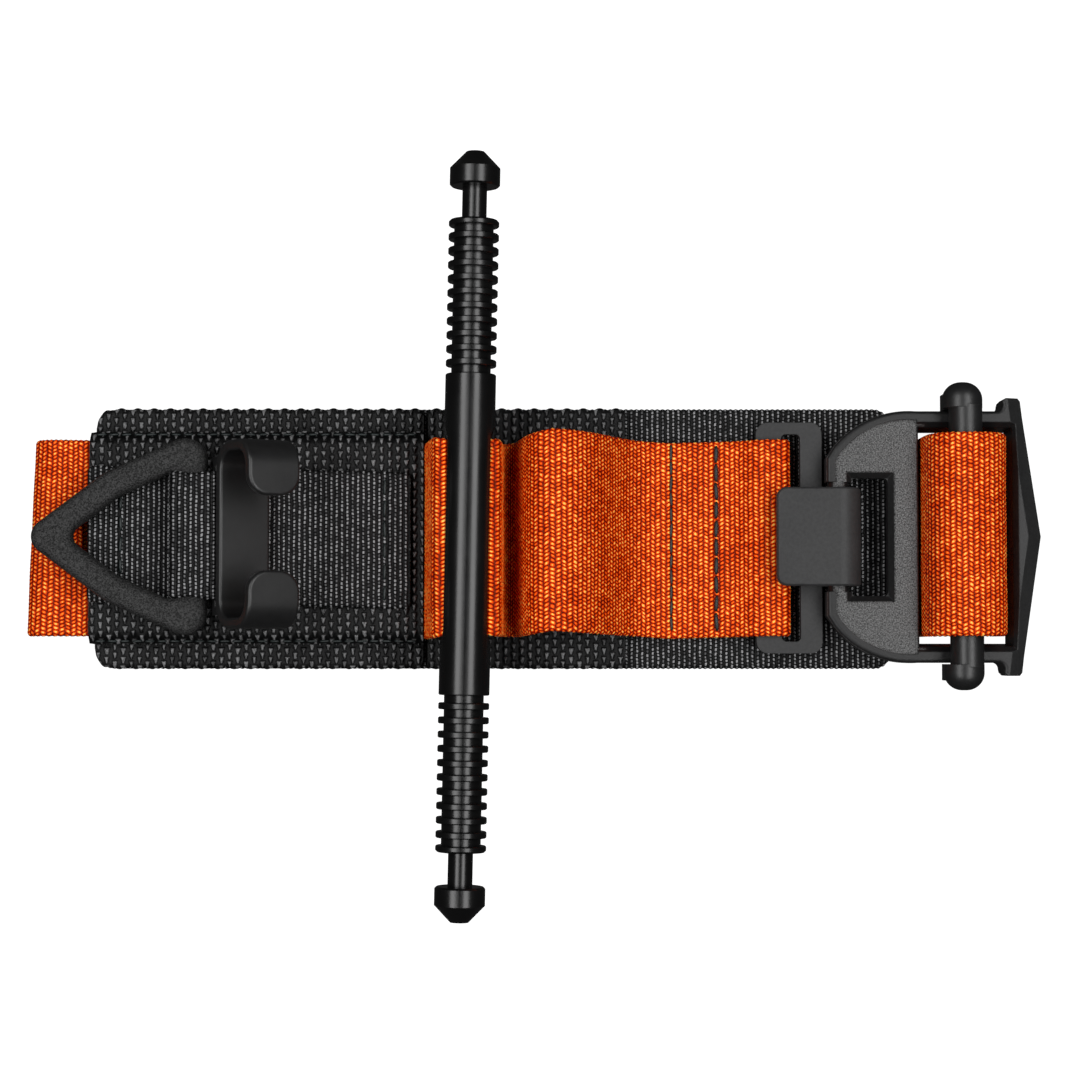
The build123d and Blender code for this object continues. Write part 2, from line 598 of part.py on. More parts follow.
with BuildPart() as strap_tail_top:
    slab(TAIL_LEFT, CUT_PLATE - GAP / 2, STRAP_W, TAIL_TOP_Z, STRAP_T)
save(strap_tail_top, "strap_tail_top")

with BuildPart() as strap_tail_middle:
    slab(TAIL_LEFT, TAIL_RIGHT, STRAP_W, TAIL_MIDDLE_Z, STRAP_T)
save(strap_tail_middle, "strap_tail_middle")

with BuildPart() as strap_tail_end:
    slab(TAIL_LEFT, TAIL_RIGHT, STRAP_W, TAIL_END_Z, STRAP_T)
save(strap_tail_end, "strap_tail_end")


def half_round(x, middle_z, direction):
    """The rounded end of a flat fold, a half disc of two layers' height."""
    with BuildSketch(side_view()) as end:
        with Locations((x, middle_z)):
            Circle(STRAP_T)
        with Locations((x - direction * STRAP_T, middle_z)):
            Rectangle(2 * STRAP_T, 2 * STRAP_T, mode=Mode.SUBTRACT)
    extrude(end.sketch, amount=STRAP_W / 2, both=True)


with BuildPart() as strap_tail_fold_left:
    half_round(TAIL_LEFT, TAIL_TOP_Z, -1)
save(strap_tail_fold_left, "strap_tail_fold_left")

with BuildPart() as strap_tail_fold_right:
    half_round(TAIL_RIGHT, TAIL_MIDDLE_Z, 1)
save(strap_tail_fold_right, "strap_tail_fold_right")

# ======== Stitching: rows of raised thread on the webbing that they hold down
def stitch_row_across(x, surface_z, span, count, length):
    """Stitches end to end along Y."""
    with BuildSketch(Plane.XY.offset(surface_z)) as row:
        with Locations((x, 0)):
            with GridLocations(1, span / count, 1, count):
                Rectangle(THREAD_W, length)
    extrude(row.sketch, amount=THREAD_H)


def stitch_row_along(y, surface_z, left, right, count, length):
    """Stitches end to end along X."""
    with BuildSketch(Plane.XY.offset(surface_z)) as row:
        with Locations(((left + right) / 2, y)):
            with GridLocations((right - left) / count, 1, count, 1):
                Rectangle(length, THREAD_W)
    extrude(row.sketch, amount=THREAD_H)


with BuildPart() as stitches_sewn_end_inner:
    stitch_row_across(SEWN_ROW_INNER, ANCHOR_Z + 2 * STRAP_T, STRAP_W - 2 * ROW_MARGIN, count=12, length=2.4)
save(stitches_sewn_end_inner, "stitches_sewn_end_inner")

with BuildPart() as stitches_sewn_end_outer:
    stitch_row_across(SEWN_ROW_OUTER, ANCHOR_Z + 2 * STRAP_T, STRAP_W - 2 * ROW_MARGIN, count=10, length=2.9)
save(stitches_sewn_end_outer, "stitches_sewn_end_outer")

with BuildPart() as stitches_tab_left:
    stitch_row_across(TAB_ROW_LEFT, TAB_Z + TAB_T, TAB_W - 2 * ROW_MARGIN, count=6, length=2.8)
save(stitches_tab_left, "stitches_tab_left")

with BuildPart() as stitches_tab_right:
    stitch_row_across(TAB_ROW_RIGHT, TAB_Z + TAB_T, TAB_W - 2 * ROW_MARGIN, count=6, length=3.0)
save(stitches_tab_right, "stitches_tab_right")

for name, side in (("upper", 1), ("lower", -1)):
    with BuildPart() as stitches_sleeve:
        row_left, row_right = SLEEVE_LEFT + ROW_MARGIN, SLEEVE_RIGHT - ROW_MARGIN
        stitch_row_along(side * SLEEVE_ROW_Y, TAB_Z, row_left, row_right, count=26, length=1.7)
    save(stitches_sleeve, f"stitches_sleeve_{name}")
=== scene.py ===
import math
import random

import bmesh
import bpy
import numpy as np
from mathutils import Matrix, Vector


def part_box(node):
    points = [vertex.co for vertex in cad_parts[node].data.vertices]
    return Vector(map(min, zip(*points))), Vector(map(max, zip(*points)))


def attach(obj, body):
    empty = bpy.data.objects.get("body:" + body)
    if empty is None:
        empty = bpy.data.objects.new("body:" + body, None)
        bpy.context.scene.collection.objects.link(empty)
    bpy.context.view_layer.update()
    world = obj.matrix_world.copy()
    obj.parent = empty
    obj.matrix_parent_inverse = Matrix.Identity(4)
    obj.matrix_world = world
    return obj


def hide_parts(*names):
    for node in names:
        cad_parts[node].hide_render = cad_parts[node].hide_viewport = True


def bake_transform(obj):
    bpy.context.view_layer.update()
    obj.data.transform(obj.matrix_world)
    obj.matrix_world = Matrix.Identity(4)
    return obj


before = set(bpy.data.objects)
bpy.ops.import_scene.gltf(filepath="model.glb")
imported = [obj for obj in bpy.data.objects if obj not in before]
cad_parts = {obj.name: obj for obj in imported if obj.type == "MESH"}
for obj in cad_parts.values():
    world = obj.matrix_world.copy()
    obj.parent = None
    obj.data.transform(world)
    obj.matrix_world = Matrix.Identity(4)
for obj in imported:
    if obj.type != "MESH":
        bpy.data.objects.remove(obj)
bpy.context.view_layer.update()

# Windlass tourniquet, stored flat. Metres. +X points to the buckle, the windlass lies along Y.
MM = 0.001

# ---- Webbing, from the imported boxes
STRAP_LOW, STRAP_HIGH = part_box("strap_main_run")
STRAP_W = STRAP_HIGH.y - STRAP_LOW.y
STRAP_T = STRAP_HIGH.z - STRAP_LOW.z
BASE_LOW, BASE_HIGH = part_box("base_webbing")
BASE_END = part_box("base_webbing_end")[1].x
BASE_W = BASE_HIGH.y - BASE_LOW.y
SEWN_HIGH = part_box("strap_sewn_end")[1]

# ---- Weave pitches
ORANGE_PITCH = 1.04 * MM
ORANGE_CROSS = 0.78 * MM
FINE_PITCH = 1.03 * MM
FINE_CROSS = 0.75 * MM
COARSE_PITCH = 1.6 * MM
COARSE_CROSS = 1.7 * MM
ORANGE_SLANT = 0.5

# ---- Shapes inside one woven cell, as fractions of it. A coarse block is wider at one end.
BLOCK_HALF = 0.27
BLOCK_SPREAD = 0.32
BLOCK_END = 0.47
DASH_HALF = 0.27
DASH_END = 0.44
SHAPE_SHARPNESS = 6.0


# ======== Meshes
def smooth_path(points, step, rounds=5):
    """Corner cutting between the given points, resampled at an even arc length.
    Returns (points, lengths)."""
    line = np.array(points, float)
    for _ in range(rounds):
        a, b = line[:-1], line[1:]
        cut = np.stack([a * 0.75 + b * 0.25, a * 0.25 + b * 0.75], 1).reshape(-1, 2)
        line = np.vstack([line[:1], cut, line[-1:]])
    gone = np.concatenate([[0], np.cumsum(np.linalg.norm(np.diff(line, axis=0), axis=1))])
    count = max(2, int(round(gone[-1] / step)) + 1)
    at = np.linspace(0, gone[-1], count)
    return np.stack([np.interp(at, gone, line[:, k]) for k in (0, 1)], 1), at


def flat_section(width, thickness, top_count, bottom_count):
    """A closed loop of (y, height, side) round a strip: its top, a rounded edge, its bottom, and the other edge.
    side is 1 on top, -1 below and between them on the edges."""
    round_w = thickness * 0.45
    half = width / 2 - round_w
    turns = [math.pi / 2 * (1 - n / 3) for n in range(1, 6)]
    edge = [(half + round_w * math.cos(a), thickness / 2 * math.sin(a), math.sin(a)) for a in turns]
    loop = [(y, thickness / 2, 1.0) for y in np.linspace(-half, half, top_count)]
    loop += edge
    loop += [(y, -thickness / 2, -1.0) for y in np.linspace(half, -half, bottom_count)]
    loop += [(-y, h, s) for y, h, s in reversed(edge)]
    return np.array(loop)


def still(along, x, y, side):
    return 0.0


def strip(names, points, section, material, slot, step=0.26 * MM, cuts=(), relief=None, shift=still,
          skew=still, narrow=still, corners=(0, 0)):
    """A bent strip of webbing, cut into one piece per name. points are (x, z) of its middle line, and section is
    its closed outline. relief(along, x, y, side) returns (added height, added width); shift moves a point
    sideways, skew moves it along X in proportion to its y, and narrow takes a part of its width.
    Returns {name: (piece, length)}."""
    middle, along = smooth_path(points, step)
    tangent = np.gradient(middle, axis=0)
    tangent /= np.linalg.norm(tangent, axis=1)[:, None]
    normal = np.stack([-tangent[:, 1], tangent[:, 0]], 1)
    n, m = len(along), len(section)
    s = np.repeat(along[:, None], m, 1)
    x = np.repeat(middle[:, 0:1], m, 1)
    y = np.repeat(section[None, :, 0], n, 0)
    height = np.repeat(section[None, :, 1], n, 0)
    side = np.repeat(section[None, :, 2], n, 0)
    width = section[:, 0].max() * 2
    for radius, gone in ((corners[0], along), (corners[1], along[-1] - along)):
        if radius:
            near = np.clip(radius - gone, 0, radius)
            y = y * (1 - (radius - np.sqrt(np.maximum(radius**2 - near**2, 0))) * 2 / width)[:, None]
    y = y * (1 - narrow(s, x, y, side))
    if relief is not None:
        lift, widen = relief(s, x, y, side)
        height = height + lift * side
        y = y + widen * np.sign(y) * (1 - np.abs(side))
    co = np.empty((n, m, 3))
    co[:, :, 0] = middle[:, 0:1] + normal[:, 0:1] * height + skew(s, x, y, side) * y
    co[:, :, 1] = y + shift(s, x, y, side)
    co[:, :, 2] = middle[:, 1:2] + normal[:, 1:2] * height
    coords = np.stack([s, y, side], -1)
    places = [0] + [int(np.argmin(np.linalg.norm(middle - np.array(p), axis=1))) for p in cuts] + [n - 1]
    made = {}
    for name, first, last in zip(names, places[:-1], places[1:]):
        rows = slice(first, last + 1)
        mesh = tube_mesh(name, co[rows], coords[rows])
        mesh.materials.append(material)
        piece = link(name, mesh)
        made[name] = (piece, float(along[last] - along[first]))
    return made


def link(name, mesh):
    piece = bpy.data.objects.new(name, mesh)
    bpy.context.scene.collection.objects.link(piece)
    return piece


def tube_mesh(name, co, coords):
    """A closed mesh through rings of points, with flat caps and the weave coordinates kept on its points."""
    n, m = co.shape[:2]
    i, k = np.meshgrid(np.arange(n - 1), np.arange(m), indexing="ij")
    nxt = (k + 1) % m
    faces = np.stack([i * m + k, (i + 1) * m + k, (i + 1) * m + nxt, i * m + nxt], -1).reshape(-1, 4)
    mesh = bpy.data.meshes.new(name)
    mesh.from_pydata(co.reshape(-1, 3).tolist(), [], faces.tolist())
    attribute = mesh.attributes.new("weave", "FLOAT_VECTOR", "POINT")
    attribute.data.foreach_set("vector", coords.astype(np.float32).ravel())
    work = bmesh.new()
    work.from_mesh(mesh)
    work.verts.ensure_lookup_table()
    for face in work.faces:
        face.smooth = True
    for first in (0, (n - 1) * m):
        cap = work.faces.new([work.verts[first + k] for k in range(m)])
        for edge in cap.edges:
            edge.smooth = False
        bmesh.ops.triangulate(work, faces=[cap])
    bmesh.ops.recalc_face_normals(work, faces=work.faces)
    work.to_mesh(mesh)
    work.free()
    return mesh


# ======== Node materials
class Nodes:
    """A short way to wire shader nodes."""

    def __init__(self, name):
        self.material = bpy.data.materials.new(name)
        self.material.use_nodes = True
        self.tree = self.material.node_tree
        self.tree.nodes.clear()
        self.out = self.tree.nodes.new("ShaderNodeOutputMaterial")
        self.shader = self.tree.nodes.new("ShaderNodeBsdfPrincipled")
        self.link(self.shader.outputs[0], self.out.inputs["Surface"])

    def link(self, a, b):
        self.tree.links.new(a, b)

    def put(self, socket, value):
        if isinstance(value, bpy.types.NodeSocket):
            self.link(value, socket)
        else:
            socket.default_value = value

    def math(self, operation, a, b=0.0, c=0.0):
        node = self.tree.nodes.new("ShaderNodeMath")
        node.operation = operation
        for socket, value in zip(node.inputs, (a, b, c)):
            self.put(socket, value)
        return node.outputs[0]

    def weave(self):
        """(along, across, side) in metres."""
        node = self.tree.nodes.new("ShaderNodeAttribute")
        node.attribute_name = "weave"
        split = self.tree.nodes.new("ShaderNodeSeparateXYZ")
        self.link(node.outputs["Vector"], split.inputs[0])
        return split.outputs

    def place(self):
        return self.tree.nodes.new("ShaderNodeTexCoord").outputs["Object"]

    def combine(self, x, y, z=0.0):
        node = self.tree.nodes.new("ShaderNodeCombineXYZ")
        for socket, value in zip(node.inputs, (x, y, z)):
            self.put(socket, value)
        return node.outputs[0]

    def noise(self, vector, scale, detail=3.0, rough=0.5, stretch=None):
        if stretch is not None:
            scaled = self.tree.nodes.new("ShaderNodeVectorMath")
            scaled.operation = "MULTIPLY"
            self.link(vector, scaled.inputs[0])
            scaled.inputs[1].default_value = stretch
            vector = scaled.outputs[0]
        node = self.tree.nodes.new("ShaderNodeTexNoise")
        self.link(vector, node.inputs["Vector"])
        node.inputs["Scale"].default_value = scale
        node.inputs["Detail"].default_value = detail
        node.inputs["Roughness"].default_value = rough
        return node.outputs["Fac"]

    def ramp(self, value, stops):
        node = self.tree.nodes.new("ShaderNodeValToRGB")
        elements = node.color_ramp.elements
        while len(elements) < len(stops):
            elements.new(0.5)
        for element, (at, colour) in zip(elements, stops):
            element.position = at
            element.color = (*colour, 1)
        self.link(value, node.inputs[0])
        return node.outputs[0]

    def clamped(self, value):
        node = self.tree.nodes.new("ShaderNodeClamp")
        self.link(value, node.inputs[0])
        return node.outputs[0]

    def inside(self, half, offset):
        """1 where the offset is well within half either way, falling quickly to 0 at its edge."""
        room = self.math("SUBTRACT", half, self.math("ABSOLUTE", offset))
        return self.clamped(self.math("MULTIPLY", room, SHAPE_SHARPNESS))

    def span(self, value, low, high):
        """Maps 0..1 to low..high."""
        return self.math("MULTIPLY_ADD", value, high - low, low)

    def bump(self, height, distance, strength=1.0, normal=None):
        node = self.tree.nodes.new("ShaderNodeBump")
        self.link(height, node.inputs["Height"])
        node.inputs["Distance"].default_value = distance
        node.inputs["Strength"].default_value = strength
        if normal is not None:
            self.link(normal, node.inputs["Normal"])
        return node.outputs[0]

    def cell(self, along, across, pitch, cross, slant=0.0, jitter=None):
        """A staggered woven cell, slanted the other way in every second rib. Returns (hump height 0..1, column
        fraction -0.5..0.5, row fraction -0.5..0.5, one random value per cell)."""
        u = self.math("DIVIDE", along, pitch)
        v = self.math("DIVIDE", across, cross)
        if jitter is not None:
            u = self.math("ADD", u, self.span(jitter, -0.16, 0.16))
            v = self.math("ADD", v, self.span(jitter, -0.45, 0.45))
        column = self.math("FLOOR", u)
        parity = self.math("MODULO", self.math("ADD", column, 1000.0), 2.0)
        fu = self.math("SUBTRACT", self.math("FRACT", u), 0.5)
        lean = self.math("MULTIPLY", self.math("MULTIPLY_ADD", parity, -2.0 * slant, slant), fu)
        v = self.math("ADD", self.math("MULTIPLY_ADD", parity, 0.5, v), lean)
        fv = self.math("SUBTRACT", self.math("FRACT", v), 0.5)
        hump_u = self.math("COSINE", self.math("MULTIPLY", fu, math.pi))
        hump_v = self.math("COSINE", self.math("MULTIPLY", fv, math.pi))
        dice = self.tree.nodes.new("ShaderNodeTexWhiteNoise")
        dice.noise_dimensions = "2D"
        self.link(self.combine(column, self.math("FLOOR", v)), dice.inputs["Vector"])
        return self.math("MULTIPLY", hump_u, hump_v), fu, fv, dice.outputs["Value"]


def set_shader(nodes, **values):
    """Sets the shader's own sockets by name, with _ for a space."""
    for name, value in values.items():
        nodes.put(nodes.shader.inputs[name.replace("_", " ")], value)


def orange_webbing():
    """Ribs of tight slanted beads, coloured by bead height: painted shade in dark red between them and a painted
    yellow highlight on each bead top.
    """
    nodes = Nodes("orange_webbing")
    along, across, side = nodes.weave()
    place = nodes.combine(along, across, side)
    drift = nodes.noise(place, 1.0, 1.0, 0.5, (420, 420, 1))
    hump, _, _, dice = nodes.cell(along, across, ORANGE_PITCH, ORANGE_CROSS, ORANGE_SLANT, drift)
    fibres = nodes.noise(place, 1.0, 2.0, 0.6, (7000, 2600, 900))
    patches = nodes.noise(place, 1.0, 2.0, 0.5, (150, 70, 1))
    painted_light_and_tone = nodes.math("ADD", hump, nodes.span(fibres, -0.30, 0.30))
    painted_light_and_tone = nodes.math("ADD", painted_light_and_tone, nodes.span(patches, -0.16, 0.16))
    painted_light_and_tone = nodes.math("ADD", painted_light_and_tone, nodes.span(dice, -0.16, 0.16))
    # The ramp paints shade in dark red between the beads and a yellow highlight on their tops; the orange
    # between them is the dye.
    colour = nodes.ramp(painted_light_and_tone, [
        (0.05, (0.11, 0.0014, 0.0002)), (0.36, (0.48, 0.0140, 0.0005)),
        (0.60, (0.92, 0.070, 0.0010)), (0.84, (1.0, 0.16, 0.0040)), (1.0, (1.0, 0.58, 0.120))])
    height = nodes.math("ADD", nodes.math("POWER", hump, 0.7), nodes.span(fibres, -0.15, 0.15))
    set_shader(nodes, Base_Color=colour, Roughness=nodes.span(fibres, 0.34, 0.5),
               Normal=nodes.bump(height, 0.16 * MM, 0.8))
    nodes.shader.inputs["Specular Tint"].default_value = (1.0, 0.50, 0.20, 1)
    nodes.shader.inputs["Specular IOR Level"].default_value = 0.35
    return nodes.material


def black_fine_webbing():
    """Close ribs, with narrow grey dashes along each rib painted into the colour as highlights."""
    nodes = Nodes("fine_black_webbing")
    along, across, side = nodes.weave()
    place = nodes.combine(along, across, side)
    drift = nodes.noise(place, 1.0, 1.0, 0.5, (420, 420, 1))
    hump, fu, fv, dice = nodes.cell(along, across, FINE_PITCH, FINE_CROSS, 0.2, drift)
    fibres = nodes.noise(place, 1.0, 2.0, 0.6, (6500, 2200, 900))
    patches = nodes.noise(place, 1.0, 3.0, 0.6, (240, 240, 1))
    painted_highlight_dash = nodes.math("MULTIPLY", nodes.inside(DASH_HALF, fu), nodes.inside(DASH_END, fv))
    level = nodes.math("MULTIPLY", painted_highlight_dash, nodes.span(dice, 0.55, 1.25))
    level = nodes.math("ADD", level, nodes.span(fibres, -0.28, 0.28))
    level = nodes.math("ADD", level, nodes.span(patches, -0.25, 0.25))
    # The grey at the top of the ramp is a painted highlight on each dash; the rest is the black yarn.
    colour = nodes.ramp(level, [
        (0.15, (0.0012, 0.0012, 0.0013)), (0.50, (0.030, 0.030, 0.031)), (1.0, (0.26, 0.26, 0.265))])
    height = nodes.math("ADD", nodes.math("POWER", hump, 0.8), nodes.span(fibres, -0.2, 0.2))
    set_shader(nodes, Base_Color=colour, Roughness=nodes.span(fibres, 0.42, 0.6),
               Normal=nodes.bump(height, 0.20 * MM, 0.8))
    nodes.shader.inputs["Specular IOR Level"].default_value = 0.18
    return nodes.material


def black_coarse_webbing():
    """Staggered blunt blocks, wide at one end and narrow at the other, with deep gaps between. The colour paints
    the block tops grey as highlights and the gaps near black as shade.
    """
    nodes = Nodes("coarse_black_webbing")
    along, across, side = nodes.weave()
    place = nodes.combine(along, across, side)
    _, fu, fv, dice = nodes.cell(along, across, COARSE_PITCH, COARSE_CROSS)
    fibres = nodes.noise(place, 1.0, 3.0, 0.65, (5200, 1900, 900))
    wobble = nodes.noise(place, 1.0, 2.0, 0.5, (620, 620, 1))
    patches = nodes.noise(place, 1.0, 3.0, 0.6, (160, 160, 1))
    half = nodes.math("MULTIPLY_ADD", fv, BLOCK_SPREAD, BLOCK_HALF)
    half = nodes.math("ADD", half, nodes.span(wobble, -0.24, 0.24))
    block = nodes.math("MULTIPLY", nodes.inside(half, fu), nodes.inside(BLOCK_END, fv))
    level = nodes.math("MULTIPLY", block, nodes.span(fibres, -0.15, 1.75))
    level = nodes.math("MULTIPLY", level, nodes.span(dice, 0.75, 1.15))
    level = nodes.math("ADD", level, nodes.span(patches, -0.2, 0.2))
    # Painted shade: near black in the gaps. Painted highlight: grey on the block tops.
    colour = nodes.ramp(level, [
        (0.10, (0.0010, 0.0010, 0.0011)), (0.45, (0.022, 0.022, 0.0225)), (1.0, (0.20, 0.20, 0.203))])
    height = nodes.math("ADD", block, nodes.span(fibres, -0.25, 0.25))
    set_shader(nodes, Base_Color=colour, Roughness=nodes.span(fibres, 0.42, 0.6),
               Normal=nodes.bump(height, 0.20 * MM, 0.8))
    nodes.shader.inputs["Specular IOR Level"].default_value = 0.18
    return nodes.material


def thread_material():
    nodes = Nodes("thread")
    place = nodes.place()
    twist = nodes.noise(place, 1.0, 2.0, 0.6, (9000, 2500, 4000))
    colour = nodes.ramp(twist, [(0.25, (0.001, 0.003, 0.003)), (0.8, (0.007, 0.014, 0.014))])
    set_shader(nodes, Base_Color=colour, Roughness=0.5, Normal=nodes.bump(twist, 0.05 * MM, 0.8))
    return nodes.material


def hard_material(name, low, high, rough, grain_scale, grain_depth, stretch=(1, 1, 1), specular=0.5,
                  edge_wear_and_highlight=0.03, bevel=0.3 * MM):
    """A dark hard surface: a fine grain, slow patches of colour and gloss, and edges painted lighter, partly
    rubbed wear and partly a painted highlight.
    """
    nodes = Nodes(name)
    place = nodes.place()
    grain = nodes.noise(place, grain_scale, 3.0, 0.6, stretch)
    patches = nodes.noise(place, 90.0, 3.0, 0.55)
    rounded = nodes.tree.nodes.new("ShaderNodeBevel")
    rounded.samples = 4
    rounded.inputs["Radius"].default_value = bevel
    flat = nodes.tree.nodes.new("ShaderNodeNewGeometry").outputs["Normal"]
    same = nodes.tree.nodes.new("ShaderNodeVectorMath")
    same.operation = "DOT_PRODUCT"
    nodes.link(rounded.outputs[0], same.inputs[0])
    nodes.link(flat, same.inputs[1])
    # Edge mask from the Bevel normal: the edges are painted lighter, partly rubbed wear and partly a painted
    # highlight where they would catch the light.
    painted_light_and_tone = nodes.clamped(nodes.math("MULTIPLY", nodes.math("SUBTRACT", 1.0, same.outputs["Value"]), 6.0))
    painted_light_and_tone = nodes.math("MULTIPLY", painted_light_and_tone, nodes.span(patches, 0.0, 1.6))
    level = nodes.math("MULTIPLY_ADD", grain, 0.6, nodes.math("MULTIPLY", patches, 0.4))
    level = nodes.math("MULTIPLY_ADD", painted_light_and_tone, 0.35, level)
    colour = nodes.ramp(level, [
        (0.3, (low, low, low * 1.02)), (0.7, (high, high, high * 1.02)),
        (1.0, (high + edge_wear_and_highlight, high + edge_wear_and_highlight, high + edge_wear_and_highlight))])
    set_shader(nodes, Base_Color=colour, Roughness=nodes.span(patches, rough - 0.07, rough + 0.07),
               Normal=nodes.bump(grain, grain_depth, 0.8, rounded.outputs[0]))
    nodes.shader.inputs["Specular IOR Level"].default_value = specular
    return nodes


def speckled(nodes, dark, light, mask=1.0):
    """Adds a coarse moulded grain where the mask is 1, as a bump and as dark and light specks in the colour; the
    light specks are painted glints on the grain.
    """
    place = nodes.place()
    speck = nodes.noise(place, 3600.0, 2.0, 0.7)
    # The light specks are painted glints; the dark ones are the part's own black.
    shade = nodes.ramp(speck, [(0.38, (dark, dark, dark)), (0.64, (light, light, light))])
    mix = nodes.tree.nodes.new("ShaderNodeMix")
    mix.data_type = "RGBA"
    nodes.put(mix.inputs["Factor"], mask)
    colour = nodes.shader.inputs["Base Color"].links[0].from_socket
    nodes.link(colour, mix.inputs["A"])
    nodes.link(shade, mix.inputs["B"])
    nodes.link(mix.outputs["Result"], nodes.shader.inputs["Base Color"])
    before = nodes.shader.inputs["Normal"].links[0].from_socket
    height = nodes.math("MULTIPLY", speck, mask)
    nodes.link(nodes.bump(height, 0.10 * MM, 0.8, before), nodes.shader.inputs["Normal"])


def front_plate_mask(nodes):
    """1 on the buckle's front plate, which is lower than its rim and left of the throat."""
    split = nodes.tree.nodes.new("ShaderNodeSeparateXYZ")
    nodes.link(nodes.place(), split.inputs[0])
    above = nodes.math("GREATER_THAN", split.outputs["Z"], FRONT_PLATE_Z - 0.25 * MM)
    below = nodes.math("LESS_THAN", split.outputs["Z"], FRONT_PLATE_Z + 0.25 * MM)
    left = nodes.math("LESS_THAN", split.outputs["X"], FRONT_PLATE_END)
    return nodes.math("MULTIPLY", nodes.math("MULTIPLY", above, below), left)


ORANGE = orange_webbing()
COARSE = black_coarse_webbing()
FINE = black_fine_webbing()
THREAD = thread_material()
ANODISED = hard_material("anodised_aluminium", 0.0018, 0.004, 0.24, 1.0, 0.008 * MM, (2500, 9000, 2500), 0.48,
                         bevel=0.15 * MM).material
POWDER_NODES = hard_material("powder_coated_metal", 0.006, 0.020, 0.50, 2800.0, 0.03 * MM, specular=0.12)
# Light specks on the powder grain: painted glints.
speckled(POWDER_NODES, 0.002, 0.045)
POWDER = POWDER_NODES.material
STEEL = hard_material("blackened_steel", 0.020, 0.034, 0.50, 1500.0, 0.015 * MM, specular=0.28).material
CLIP = hard_material("black_plastic_clip", 0.008, 0.012, 0.34, 700.0, 0.012 * MM).material
BUCKLE_NODES = hard_material("black_plastic_buckle", 0.004, 0.014, 0.42, 2400.0, 0.02 * MM, specular=0.35)
RIM_STEP = 0.7 * MM
FRONT_PLATE_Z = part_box("buckle")[1].z - RIM_STEP
FRONT_PLATE_END = 88.0 * MM
# Light specks on the front plate's grain: painted glints.
speckled(BUCKLE_NODES, 0.004, 0.130, front_plate_mask(BUCKLE_NODES))
BUCKLE = BUCKLE_NODES.material
BAR = hard_material("black_plastic_bar", 0.005, 0.012, 0.38, 1900.0, 0.03 * MM).material


def finish_node(name, material):
    """Gives a CAD node its finished material."""
    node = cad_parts[name]
    node.data.materials.clear()
    node.data.materials.append(material)


for node_name, node_material in (
    ("windlass", ANODISED), ("tri_ring", POWDER), ("retention_clip", CLIP),
    ("hook_plate", STEEL), ("buckle", BUCKLE), ("friction_bar", BAR),
):
    finish_node(node_name, node_material)


# ======== Relief of each weave, added to the mesh. Each returns (added height, added width)
def slow_waves(s, y, amount):
    """Low uneven waves, so that no strip lies perfectly flat."""
    a, b = s / MM, y / MM
    return amount * (np.sin(a * 0.31 + b * 0.17) + np.sin(a * 0.13 - b * 0.41 + 1.3)) / 2


def near(x, at, width):
    """1 at a place along X, falling to 0 about a width away."""
    return np.exp(-((x - at) / width) ** 2)


def beads(s, y, pitch, cross, slant=0.0):
    """Height 0..1 of a rib of slanted beads, each rib half a bead out of step with the last."""
    column = np.floor(s / pitch)
    fu = s / pitch - column - 0.5
    across = y / cross + 0.5 * np.mod(column, 2) + slant * (1 - 2 * np.mod(column, 2)) * fu
    fv = across - np.floor(across) - 0.5
    return np.abs(np.cos(np.pi * fu)) ** 0.6 * (0.45 + 0.55 * np.abs(np.cos(np.pi * fv)) ** 0.7)


def edge_ribs(s, pitch):
    return 0.5 + 0.5 * np.cos(2 * np.pi * s / pitch - np.pi)


def orange_relief(s, x, y, side):
    bead = beads(s, y, ORANGE_PITCH, ORANGE_CROSS, ORANGE_SLANT)
    lift = 0.22 * MM * (bead - 0.7) + slow_waves(s, y, 0.06 * MM)
    sewn = (near(x, 39.3 * MM, 0.5 * MM) + near(x, 48.1 * MM, 0.6 * MM)) * (side > 0) * (s > 0)
    return lift - 0.22 * MM * sewn, 0.16 * MM * edge_ribs(s, ORANGE_PITCH)


def plain_relief(s, x, y, side):
    """For layers that only show their edges."""
    return 0.0 * s, 0.16 * MM * edge_ribs(s, ORANGE_PITCH)


def fine_relief(s, x, y, side):
    lift = 0.22 * MM * (beads(s, y, FINE_PITCH, FINE_CROSS) - 0.7) + slow_waves(s, y, 0.05 * MM)
    return lift, 0.2 * MM * edge_ribs(s, FINE_PITCH)


def coarse_relief(s, x, y, side):
    column = np.floor(s / COARSE_PITCH)
    across = y / COARSE_CROSS + 0.5 * np.mod(column, 2)
    fu = s / COARSE_PITCH - column - 0.5
    fv = across - np.floor(across) - 0.5
    block = (np.clip((BLOCK_HALF + BLOCK_SPREAD * fv - np.abs(fu)) * 5, 0, 1)
             * np.clip((BLOCK_END - np.abs(fv)) * 5, 0, 1))
    lift = 0.50 * MM * (block - 0.7) + slow_waves(s, y, 0.12 * MM)
    return lift, 0.5 * MM * (edge_ribs(s, 2 * COARSE_PITCH) - 0.6)


# ======== Orange strap, one strip of webbing in lengths that each cross at most one joint
BEADED_SECTION = flat_section(STRAP_W, STRAP_T, 190, 30)
PLAIN_SECTION = flat_section(STRAP_W, STRAP_T, 25, 25)
BEADED_STEP = ORANGE_PITCH / 4
PLAIN_STEP = 0.5 * MM


def mm(*points):
    return [(x * MM, z * MM) for x, z in points]


def orange(names, points, beaded=False, **options):
    """A length of the strap, its weave modelled where it shows."""
    section, step, relief = (
        (BEADED_SECTION, BEADED_STEP, orange_relief) if beaded else (PLAIN_SECTION, PLAIN_STEP, plain_relief))
    return strip(names, points, section, ORANGE, "orange_webbing", step=step, relief=relief, **options)


